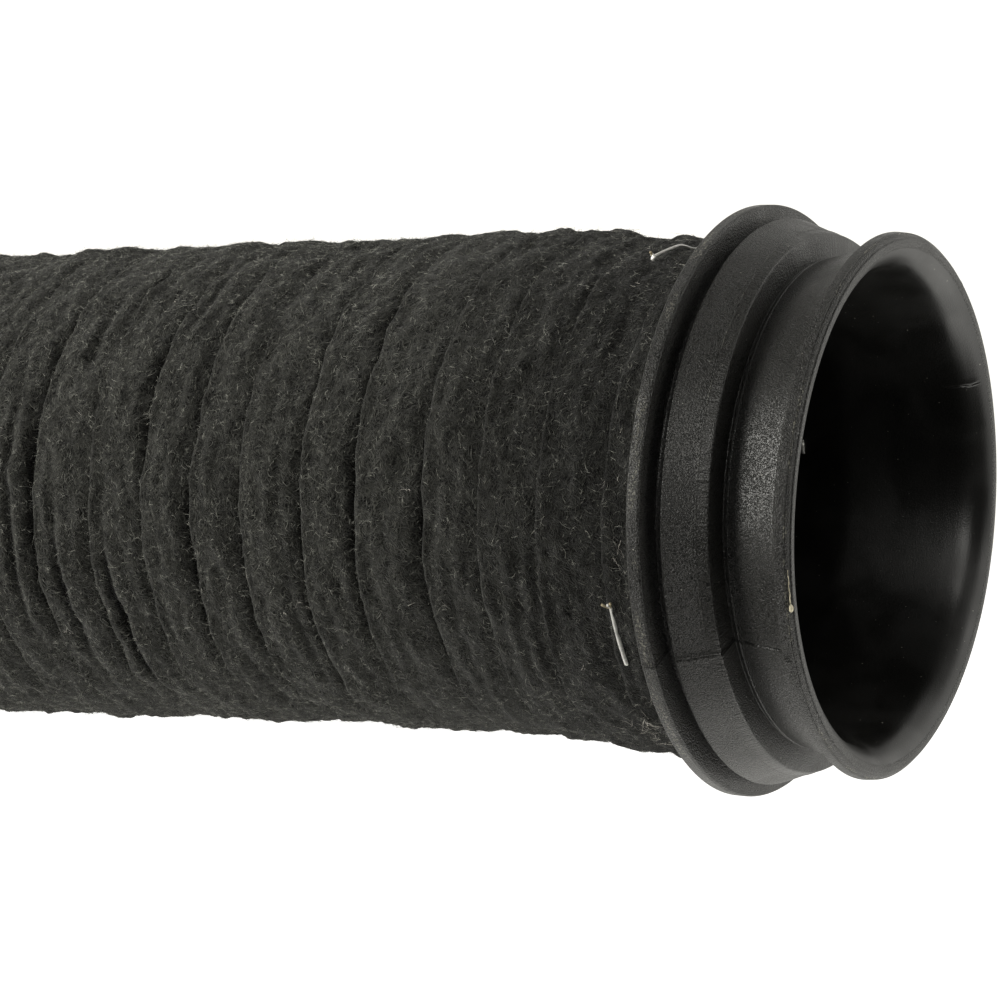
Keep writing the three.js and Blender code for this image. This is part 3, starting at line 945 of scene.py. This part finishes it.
class DUCT_OT_felt_strip(bpy.types.Operator):
    """Winds the felt strip over the tube, in lengths that lie over one seam each"""

    bl_idname = "duct.felt_strip"
    bl_label = "Felt strip"

    def execute(self, context):
        material = felt_material()
        loose = [fibre_material(), lint_material("pale_lint", tuple(context.scene.duct_felt.lint_colour))]
        cuts = strip_cuts()
        for number, (start, end) in enumerate(zip(cuts, cuts[1:]), 1):
            steps = math.ceil((end - start) * STEPS_PER_TURN)
            turn = np.linspace(start, end, steps + 1)
            x, radius, fold, visible = strip_section(turn)
            grid = on_tube(x, radius, edge_angle(turn)[:, None])
            long_way = (turn - start) * CIRCLE * context.scene.duct_felt.edge_radius
            round_way = np.linspace(0, 1, grid.shape[1] + 1) * 2 * context.scene.duct_felt.pitch
            strip = tube_of(f"felt_strip_{number}", grid, (long_way, round_way), material)
            strip.data.set_sharp_from_angle(angle=math.radians(70))
            # The fold depth goes to the felt's material, which paints shade into the folds with it.
            depths = strip.data.attributes.new("fold", "FLOAT", "POINT").data
            depths.foreach_set("value", fold.ravel().astype(np.float32))
            finish_length(strip, "felt_cover", number)
            fuzz = felt_fuzz(number, grid, fold, visible - 2, loose)
            bend_over_seam(fuzz)
        return {"FINISHED"}


# ---------------------------------------------------------------- liner and spring wire


def tube_cuts():
    """x of the cuts between lengths of liner and wire: the ends, and each section's middle."""
    return [FELT_END, *SECTION_MIDDLES, -FELT_END]


class DUCT_OT_liner(bpy.types.Operator):
    """Makes the liner, drawn in a little between the turns of the wire"""

    bl_idname = "duct.liner"
    bl_label = "Liner"

    def execute(self, context):
        tube, felt = context.scene.duct_tube, context.scene.duct_felt
        material = liner_material()
        cuts = tube_cuts()
        sides, step = 120, 1.1 * MM
        angle = np.arange(sides)[:, None] * CIRCLE / sides
        for number, (front, rear) in enumerate(zip(cuts, cuts[1:]), 1):
            x = np.linspace(front, rear, math.ceil((front - rear) / step) + 1)[None, :]
            free = smooth(0, 4 * MM, CUFF_LOW.x - np.abs(x))
            rib = 0.5 - 0.5 * np.cos(CIRCLE * x / felt.pitch - angle)
            outer = tube.liner_radius - tube.liner_rib * rib * free
            outer, x = np.broadcast_arrays(outer, x)
            radius = np.concatenate([outer, outer[:, ::-1] - tube.liner_thickness], 1)
            places = np.concatenate([x, x[:, ::-1]], 1)
            grid = on_tube(places, radius, angle)
            round_way = np.arange(sides + 1) * CIRCLE / sides * tube.liner_radius
            long_way = np.arange(grid.shape[1] + 1) * step
            piece = tube_of(f"liner_length_{number}", grid, (round_way, long_way), material, ring=True)
            piece.data.set_sharp_from_angle(angle=math.radians(40))
            finish_length(piece, "liner", number)
        return {"FINISHED"}


class DUCT_OT_spring_wire(bpy.types.Operator):
    """Winds the spring wire between the liner and the felt"""

    bl_idname = "duct.spring_wire"
    bl_label = "Spring wire"

    def execute(self, context):
        tube, felt = context.scene.duct_tube, context.scene.duct_felt
        material = wire_material("spring_steel", tuple(tube.steel_colour), 0.35)
        steps_per_turn, staple_zone = 48, 14 * MM
        cuts = tube_cuts()
        cuts[0] -= staple_zone
        cuts[-1] += staple_zone
        for number, (front, rear) in enumerate(zip(cuts, cuts[1:]), 1):
            steps = math.ceil((front - rear) / felt.pitch * steps_per_turn)
            x = np.linspace(front, rear, steps + 1)
            path = on_tube(x, tube.wire_radius, CIRCLE * x / felt.pitch)
            piece = swept(f"spring_length_{number}", path, tube.wire / 2, material)
            finish_length(piece, "spring_wire", number)
        return {"FINISHED"}


# ---------------------------------------------------------------- cuffs


# The moulding's outline: distance behind the lip's front, radius and corner fillet, in mm
LIP_CORNERS = (
    (0.0, 41.7, 1.4),
    (0.0, 42.7, 0.12),
    (0.12, 42.85, 0.03),
    (0.2, 42.8, 0.03),
    (0.4, 43.25, 0.2),
    (0.75, 43.6, 0.04),
    (0.82, 43.55, 0.03),
    (0.95, 43.85, 0.2),
    (2.4, 44.0, 0.15),
)
NECK_CORNERS = (
    (2.6, 42.6, 0.15),
    (3.1, 42.1, 0.1),
    (3.6, 41.5, 0.5),
    (7.5, 40.55, 3.0),
    (10.6, 39.75, 0.1),
    (10.75, 39.9, 0.06),
    (10.95, 39.72, 0.08),
    (11.5, 39.35, 0.25),
    (11.65, 39.4, 0.1),
)
RING_CORNERS = (
    (12.0, 43.7, 0.4),
    (13.65, 44.28, 0.1),
    (13.8, 44.42, 0.05),
    (13.9, 44.3, 0.06),
    (18.85, 46.3, 0.3),
    (18.95, 43.0, 0.4),
)
FLANGE_CORNERS = (
    (21.2, 43.0, 0.4),
    (21.3, 48.15, 0.25),
    (21.6, 48.4, 0.15),
    (23.3, 48.4, 0.15),
    (23.6, 48.1, 0.15),
    (23.6, 37.0, 0.5),
)
SPIGOT_CORNERS = (
    (47.8, 37.0, 0.6),
    (48.6, 36.2, 0.2),
    (48.6, 35.2, 0.2),
    (23.6, 35.2, 12.0),
    (6.5, 38.0, 18.0),
)
FLARE_CORNERS = ((3.2, 38.6, 6.0), (0.9, 40.3, 4.4))
# Worn edges: distance and radius of a corner, reach in mm, and how much of it is pale
WORN_EDGES = (((0.82, 43.55), 0.5, 0.9), ((22.4, 48.4), 1.5, 0.5), ((13.8, 44.42), 0.3, 0.3))
DUST_COLOUR = (0.34, 0.33, 0.29, 1)
CRUMB_COLOUR = (0.33, 0.32, 0.26, 1)
CUFF_SIDES = 340
LONGEST_STEP = 0.9 * MM  # along the outline
FIRST_SIDE = math.radians(215)
REAR_TURN = math.radians(38.6)  # the rear cuff is the front one mirrored, then turned by this
PARTING_STEPS = (0.07, 0.14, 0.22, 0.32, 0.46, 0.7, 1.0)  # to each side of the parting line, in mm
# Torn flash on the lip's rim: angle in degrees, half span, height in mm
FLASH_TAGS = (
    (-32, 1.2, 0.35),
    (-38, 0.8, 0.25),
    (-72, 1.4, 0.3),
    (-88, 0.9, 0.25),
    (-140, 1.5, 0.35),
    (128, 0.8, 0.2),
)
# Nicks in the flange's front edge: angle in degrees, half span, depth in mm
FLANGE_NICKS = ((62, 0.5, 0.3), (74, 0.35, 0.25), (96, 0.4, 0.25), (103, 0.6, 0.35), (140, 0.5, 0.25))

# Dried adhesive on the front lip: its thread and its drop, in degrees, then sizes in mm
THREAD_START, DROP_MIDDLE, DROP_HALF = 102.4, 110.25, 0.85
DROP_RADIUS, DROP_BACK, DROP_SIZE = 43.45, 0.35, 0.36
ADHESIVE_COLOUR = (0.75, 0.68, 0.5, 1)


def fix_to(body, piece):
    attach(piece, body)


def cuff_angles():
    """Angles round the moulding, closer together at its two parting lines."""
    cuff = bpy.context.scene.duct_cuff
    even = FIRST_SIDE + np.arange(CUFF_SIDES) * CIRCLE / CUFF_SIDES
    nearby = np.array(PARTING_STEPS) * MM / CUFF_HALF
    lines = [cuff.parting_angle + turn * math.pi for turn in range(1, 3)]
    close = np.concatenate([line + np.concatenate([-nearby[::-1], [0], nearby]) for line in lines])
    apart = np.min([np.abs(gap_between(even, line)) for line in lines], axis=0)
    angles = np.concatenate([even[apart > nearby[-1] * 1.3], close])
    return np.sort((angles - FIRST_SIDE) % CIRCLE) + FIRST_SIDE


def cuff_outline():
    """The moulding's closed outline, and its normals, both as distance and radius."""
    groups = (LIP_CORNERS, NECK_CORNERS, RING_CORNERS, FLANGE_CORNERS, SPIGOT_CORNERS, FLARE_CORNERS)
    corners = [tuple(size * MM for size in corner) for group in groups for corner in group]
    outline = divided(filleted(corners), LONGEST_STEP)
    along = np.roll(outline, -1, axis=0) - np.roll(outline, 1, axis=0)
    return outline, unit(np.stack([-along[:, 1], along[:, 0]], -1))


def parting_height(angle, distance, radius):
    """How far the skin stands out along the parting lines: a ridge with a torn groove beside it."""
    cuff = bpy.context.scene.duct_cuff
    torn = 0.75 + 0.5 * Ripple(32, 0.8 * MM)(distance + radius, 0 * angle)
    neck = smooth(11.8 * MM, 11.2 * MM, distance) * smooth(2.4 * MM, 3.0 * MM, distance)
    height = 0
    for line in (cuff.parting_angle, cuff.parting_angle + math.pi):
        across = gap_between(angle, line) * CUFF_HALF / MM  # in mm, for the widths below
        ridge = (1 - 0.7 * neck) * hump(across + 0.12, 0.1)
        ridge = ridge - (1.3 + 2.2 * neck) * torn * hump(across - 0.14, 0.13 + 0.07 * neck)
        step = 0.4 * smooth(-0.1, 0.3, across) * smooth(1.0, 0.5, across)
        height = height + cuff.parting_height * (ridge + step)
    outside = smooth(38 * MM, 39 * MM, radius) * smooth(48 * MM, 23.7 * MM, distance)
    return height * outside * smooth(1.0 * MM, 2.0 * MM, distance)


def cuff_grid():
    """The moulding's skin with its lip's lean, parting lines, flash and nicks."""
    cuff = bpy.context.scene.duct_cuff
    outline, normal = cuff_outline()
    distance, radius = outline[None, :, 0], outline[None, :, 1]
    angle = cuff_angles()[:, None]
    height = parting_height(angle, distance, radius)
    # The soft lip leans forwards, the rim carries the flash and the flange's front edge the nicks
    soft = smooth(9 * MM, 3 * MM, distance) * smooth(36 * MM, 39 * MM, radius)
    lean = cuff.lip_reach + cuff.lip_lean * (np.cos(angle) + 0.3 * np.sin(angle))
    forward = soft * lean - distance - height * normal[:, 0]
    rim = hump(distance - 0.9 * MM, 0.5 * MM) * smooth(42.8 * MM, 43.8 * MM, radius)
    edge = hump(distance - 21.4 * MM, 0.35 * MM) * smooth(47 * MM, 48 * MM, radius)
    wave = 0.1 * MM * Ripple(31, 60 * MM)(0 * distance, angle) * smooth(9 * MM, 0, distance)
    radius = radius + height * normal[:, 1] + wave
    for degrees, span, tag in FLASH_TAGS:
        tall = hump(gap_between(angle, math.radians(degrees)), math.radians(span), 4)
        radius = radius + tag * MM * tall * rim
    for degrees, span, depth in FLANGE_NICKS:
        deep = hump(gap_between(angle, math.radians(degrees)), math.radians(span))
        radius = radius - depth * MM * deep * edge
    return forward, radius, angle


def outline_way(outline, distance=None, radius=None):
    """Length along the outline: to each point, or to the one nearest a given corner in mm."""
    steps = np.linalg.norm(np.roll(outline, -1, axis=0) - outline, axis=1)
    way = np.concatenate([[0], np.cumsum(steps)])
    if distance is None:
        return way
    return way[np.argmin(np.linalg.norm(outline - np.array([distance, radius]) * MM, axis=1))]


class DUCT_OT_cuffs(bpy.types.Operator):
    """Moulds the two rubber cuffs with their parting lines, flash and grain"""

    bl_idname = "duct.cuffs"
    bl_label = "Cuffs"

    def execute(self, context):
        materials = [grained_rubber(), smooth_rubber()]
        outline = cuff_outline()[0]
        forward, radius, angle = cuff_grid()
        round_way = np.append(angle, angle[0] + CIRCLE) * CUFF_HALF
        long_way = outline_way(outline)
        smooth_way = outline_way(outline, *SPIGOT_CORNERS[2][:2])
        for end, facing, body in ENDS:
            turned = angle if facing > 0 else REAR_TURN - angle
            grid = on_axis(facing * (LIP_X + forward), radius, turned)
            piece = tube_of(f"{end}_cuff_moulding", grid, (round_way, long_way), materials[0], ring=True)
            piece.data.materials.append(materials[1])
            inside = np.tile(long_way[:-1] >= smooth_way, len(angle)).astype(np.int32)
            piece.data.polygons.foreach_set("material_index", inside)
            piece.data.set_sharp_from_angle(angle=math.radians(50))
            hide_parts(f"{end}_cuff")
            fix_to(body, piece)
        self.add_drop(lint_material("dried_adhesive", ADHESIVE_COLOUR))
        return {"FINISHED"}

    def add_drop(self, material):
        """A drop of dried adhesive, and the thread it pulled, on the front lip's outer edge."""
        degrees = np.linspace(THREAD_START, DROP_MIDDLE + DROP_HALF, 60)
        lip = LIP_X + bpy.context.scene.duct_cuff.lip_reach
        x = lip - DROP_BACK * MM + 0.05 * MM * np.sin(degrees * 2.3)
        path = on_axis(x, DROP_RADIUS * MM, np.radians(degrees))
        thread = 0.03 + 0.07 * smooth(THREAD_START, 106.5, degrees) + 0.02 * np.sin(degrees * 5.1)
        drop = DROP_SIZE * np.sqrt(np.clip(1 - ((degrees - DROP_MIDDLE) / DROP_HALF) ** 2, 0, 1))
        size = np.maximum(thread * (degrees < DROP_MIDDLE), drop)
        fix_to("section_1", swept("adhesive_drop", path, np.maximum(size, 0.01) * MM, material))


# ---------------------------------------------------------------- staples


CAD_CROWN = 0.9 * MM  # depth of the solid's crown
CAD_CROWN_HALF, CAD_FOOT_HALF = 0.4 * MM, 0.5 * MM  # from its outer faces to its middle lines
STAPLE_SINK = 0.25 * MM  # how far a crown presses into the felt
STAPLE_HALF = 5.4 * MM  # from the middle of a crown to the middle of a leg
STAPLE_FOOT = 2.6 * MM
FOOT_LIFT = 0.6 * MM  # from the solid's foot to the clinched one
STAPLE_BEND = 0.7 * MM  # radius of the wire's bends
STAPLE_DIP = 1.3 * MM  # how far the aslant staple's far end sinks into the felt


def rounded_path(points, radius, steps=4):
    """The path with its corners rounded, except where it turns back on itself."""
    path = [points[0]]
    for before, here, after in zip(points, points[1:], points[2:]):
        back, on = before - here, after - here
        cut = min(radius, 0.45 * np.linalg.norm(back), 0.45 * np.linalg.norm(on))
        back, on = unit(back), unit(on)
        if back @ on < -0.97:
            path.append(here)
        else:
            path.extend(rounded_corner(here, back, on, cut, steps))
    path.append(points[-1])
    return np.array(path)


def staple_place(node):
    """The solid's middle on the axis, its outward and crown directions, and the radii of crown and feet."""
    points = np.array([vertex.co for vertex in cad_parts[node].data.vertices])
    points = points - np.array([0, 0, AXIS_Z])
    reach = np.linalg.norm(points[:, 1:], axis=1)
    crown = points[reach > reach.max() - CAD_CROWN]
    middle = crown.mean(0)
    angle = math.atan2(-middle[1], middle[2])
    outward = np.array([0, -math.sin(angle), math.cos(angle)])
    flat = crown - middle
    along = np.linalg.svd(flat - np.outer(flat @ outward, outward))[2][0]
    along = along * np.sign(along @ np.cross([1, 0, 0], outward))
    start = np.array([middle[0], 0, AXIS_Z])
    return start, outward, along, reach.max() - CAD_CROWN_HALF - STAPLE_SINK, reach.min() + CAD_FOOT_HALF


def staple_path(node):
    """A staple's centre line: its crown, bowed over the felt, its legs and its clinched feet."""
    start, outward, along, crown_radius, foot_radius = staple_place(node)
    dip = STAPLE_DIP if node.endswith("_1") else 0
    foot_sides = np.array([[STAPLE_HALF - STAPLE_FOOT], [STAPLE_HALF]])
    foot = start + outward * (foot_radius + FOOT_LIFT)
    crown = []
    for share in np.linspace(1, -1, 17):
        side = share * STAPLE_HALF
        tall = math.sqrt(crown_radius**2 - side**2) - dip * smooth(0.1, 0.8, -share)
        crown.append(start + along * side + outward * tall)
    path = [*(foot + along * foot_sides), *crown, *(foot - along * foot_sides[::-1])]
    return rounded_path(np.array(path), STAPLE_BEND)


def staple_burr(name, node, end, materials, seed, body):
    """Torn plating and a wisp of wire at one end of a crown."""
    rng = np.random.default_rng(seed)
    start, outward, along, crown_radius = staple_place(node)[:4]
    place = start + along * end * STAPLE_HALF + outward * (crown_radius + 0.1 * MM)
    share = np.linspace(0, 1, 5)[:, None]
    for number in range(3):
        heading = along * end * rng.uniform(0.2, 1) + rng.normal(0, 0.5, 3)
        heading = heading - outward * min(0.0, heading @ outward)
        bend = rng.normal(0, 0.25, 3)
        reach = rng.uniform(0.4, 1.0) * MM
        path = place + reach * (heading * share + bend * share**2) / np.linalg.norm(heading)
        wisp = swept(f"{name}_{number + 1}", path, rng.uniform(0.16, 0.34) * MM, materials[number % 2], 6)
        fix_to(body, wisp)


class DUCT_OT_staples(bpy.types.Operator):
    """Bends the staples that hold the felt, wire and liner on the spigots"""

    bl_idname = "duct.staples"
    bl_label = "Staples"

    def execute(self, context):
        tube = context.scene.duct_tube
        zinc = wire_material("zinc_wire", tuple(tube.zinc_colour), 0.3, metallic=0.25)
        glue = lint_material("staple_glue", tuple(tube.glue_colour))
        for end, _, body in ENDS:
            for number in range(1, STAPLES + 1):
                node = f"{end}_staple_{number}"
                name = f"{end}_staple_wire_{number}"
                piece = swept(name, staple_path(node), tube.staple_wire / 2, zinc, sides=12, flatten=0.7)
                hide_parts(node)
                fix_to(body, piece)
                side = 1 if number == 1 else -1
                staple_burr(f"{end}_staple_burr_{number}", node, side, (glue, zinc), 70 + number, body)
        return {"FINISHED"}


# ---------------------------------------------------------------- stage


# The camera's place, from the middle of the front lip, and its directions
CAMERA_PLACE = Vector((186.64, -452.74, 8.65)) * MM
CAMERA_FORWARD = Vector((-0.49749, 0.86723, -0.02019)).normalized()
CAMERA_UPWARD = Vector((-0.04055, 0.0, 0.99918))
# Soft boxes: bearing and height in degrees, distance from the lip, width and length
SOFT_BOXES = {
    "side_light": (-142, 11, 0.9, (0.5, 0.7)),
    "low_light": (-95, 12, 0.95, (0.5, 0.4)),
    "back_light": (-168, 12, 0.9, (0.5, 0.6)),
    "mouth_light": (0, 22, 0.9, (0.5, 0.5)),
    "front_light": (-71, 24, 0.95, (0.6, 0.5)),
}


def soft_box(name, bearing, height, away, size):
    """A rectangular light that faces the front lip, with the power that the settings give it."""
    stage = bpy.context.scene.duct_stage
    data = bpy.data.lights.new(name, "AREA")
    data.shape = "RECTANGLE"
    data.size, data.size_y = size
    data.energy = getattr(stage, name)
    data.color = stage.light_colour[:3]
    light = bpy.data.objects.new(name, data)
    turn, climb = math.radians(bearing), math.radians(height)
    heading = Vector((math.cos(turn) * math.cos(climb), math.sin(turn) * math.cos(climb), math.sin(climb)))
    light.location = LIP_MIDDLE + heading * away
    light.rotation_euler = heading.to_track_quat("Z", "Y").to_euler()
    bpy.context.scene.collection.objects.link(light)
    return light


class DUCT_OT_stage(bpy.types.Operator):
    """Sets the pale floor, the soft light and the camera"""

    bl_idname = "duct.stage"
    bl_label = "Stage"

    def execute(self, context):
        stage = context.scene.duct_stage
        self.add_camera(context, stage)
        self.add_floor(stage)
        self.add_light(context, stage)
        context.scene.view_settings.view_transform = "Standard"
        return {"FINISHED"}

    def add_camera(self, context, stage):
        data = bpy.data.cameras.new("camera")
        data.lens = stage.lens
        data.sensor_width = 36.0
        data.clip_start, data.clip_end = 0.01, 50.0
        camera = bpy.data.objects.new("camera", data)
        right = CAMERA_FORWARD.cross(CAMERA_UPWARD).normalized()
        upward = right.cross(CAMERA_FORWARD)
        turn = Matrix((right, upward, -CAMERA_FORWARD)).transposed().to_4x4()
        camera.matrix_world = Matrix.Translation(LIP_MIDDLE + CAMERA_PLACE) @ turn
        context.scene.collection.objects.link(camera)
        context.scene.camera = camera

    def add_floor(self, stage):
        half = 6.0
        vertices = [(x * half, y * half, -stage.floor_drop) for x, y in ((-1, -1), (1, -1), (1, 1), (-1, 1))]
        material, tree, shader = new_material("pale_floor", 0.9)
        colour = tuple(stage.floor_colour)
        patched(tree, noise(tree, object_place(tree), 3.0), colour, scaled(colour, 0.98), shader)
        shader.inputs["Emission Color"].default_value = colour
        shader.inputs["Emission Strength"].default_value = stage.floor_glow
        floor = new_piece("floor", vertices, np.array([[0, 1, 2, 3]]), material=material)
        floor.visible_glossy = floor.visible_diffuse = floor.visible_shadow = False

    def add_light(self, context, stage):
        world = bpy.data.worlds.new("surroundings")
        world.use_nodes = True
        tree = world.node_tree
        heading = add_node(tree, "ShaderNodeTexCoord").outputs["Generated"]
        apart = add_node(tree, "ShaderNodeSeparateXYZ", {0: heading}).outputs
        lean = maths(tree, "ADD", apart["Y"], maths(tree, "MULTIPLY", apart["Z"], -0.2))
        wall = ramp(tree, lean, -0.15, 0.35, stage.room, stage.wall_light)
        table = ramp(tree, apart["Z"], -0.75, -0.3, 1.0 + stage.table_light, 1.0)
        beside = ramp(tree, apart["X"], 0.05, 0.55, 0.0, stage.mouth_wall)
        wall = maths(tree, "MULTIPLY", wall, maths(tree, "ADD", table, beside))
        seen = add_node(tree, "ShaderNodeLightPath").outputs["Is Camera Ray"]
        bright = maths(tree, "MAXIMUM", wall, maths(tree, "MULTIPLY", seen, stage.backdrop))
        tree.links.new(bright, tree.nodes["Background"].inputs["Strength"])
        tree.nodes["Background"].inputs["Color"].default_value = tuple(stage.light_colour)
        context.scene.world = world
        boxes = {name: soft_box(name, *box) for name, box in SOFT_BOXES.items()}
        boxes["front_light"].visible_diffuse = False


# ---------------------------------------------------------------- panel and running


class DUCT_PT_panel(bpy.types.Panel):
    """Lists the duct's pieces and their settings"""

    bl_idname = "DUCT_PT_panel"
    bl_label = "Flexible air duct"
    bl_space_type = "VIEW_3D"
    bl_region_type = "UI"
    bl_category = "Duct"

    def draw(self, context):
        layout = self.layout
        for operator in OPERATORS:
            layout.operator(operator.bl_idname)
        for name in SETTINGS:
            group = getattr(context.scene, name)
            box = layout.box()
            for label in group.__annotations__:
                box.prop(group, label)


SETTINGS = {
    "duct_felt": DuctFeltSettings,
    "duct_cuff": DuctCuffSettings,
    "duct_tube": DuctTubeSettings,
    "duct_stage": DuctStageSettings,
}
OPERATORS = (
    DUCT_OT_stage,
    DUCT_OT_felt_strip,
    DUCT_OT_liner,
    DUCT_OT_spring_wire,
    DUCT_OT_cuffs,
    DUCT_OT_staples,
)
CLASSES = (*SETTINGS.values(), *OPERATORS, DUCT_PT_panel)


def register():
    for cls in CLASSES:
        bpy.utils.register_class(cls)
    for name, cls in SETTINGS.items():
        setattr(bpy.types.Scene, name, bpy.props.PointerProperty(type=cls))


def unregister():
    for name in SETTINGS:
        delattr(bpy.types.Scene, name)
    for cls in reversed(CLASSES):
        bpy.utils.unregister_class(cls)


def main():
    register()
    for operator in OPERATORS:
        group, name = operator.bl_idname.split(".")
        getattr(getattr(bpy.ops, group), name)()


if __name__ == "__main__":
    main()
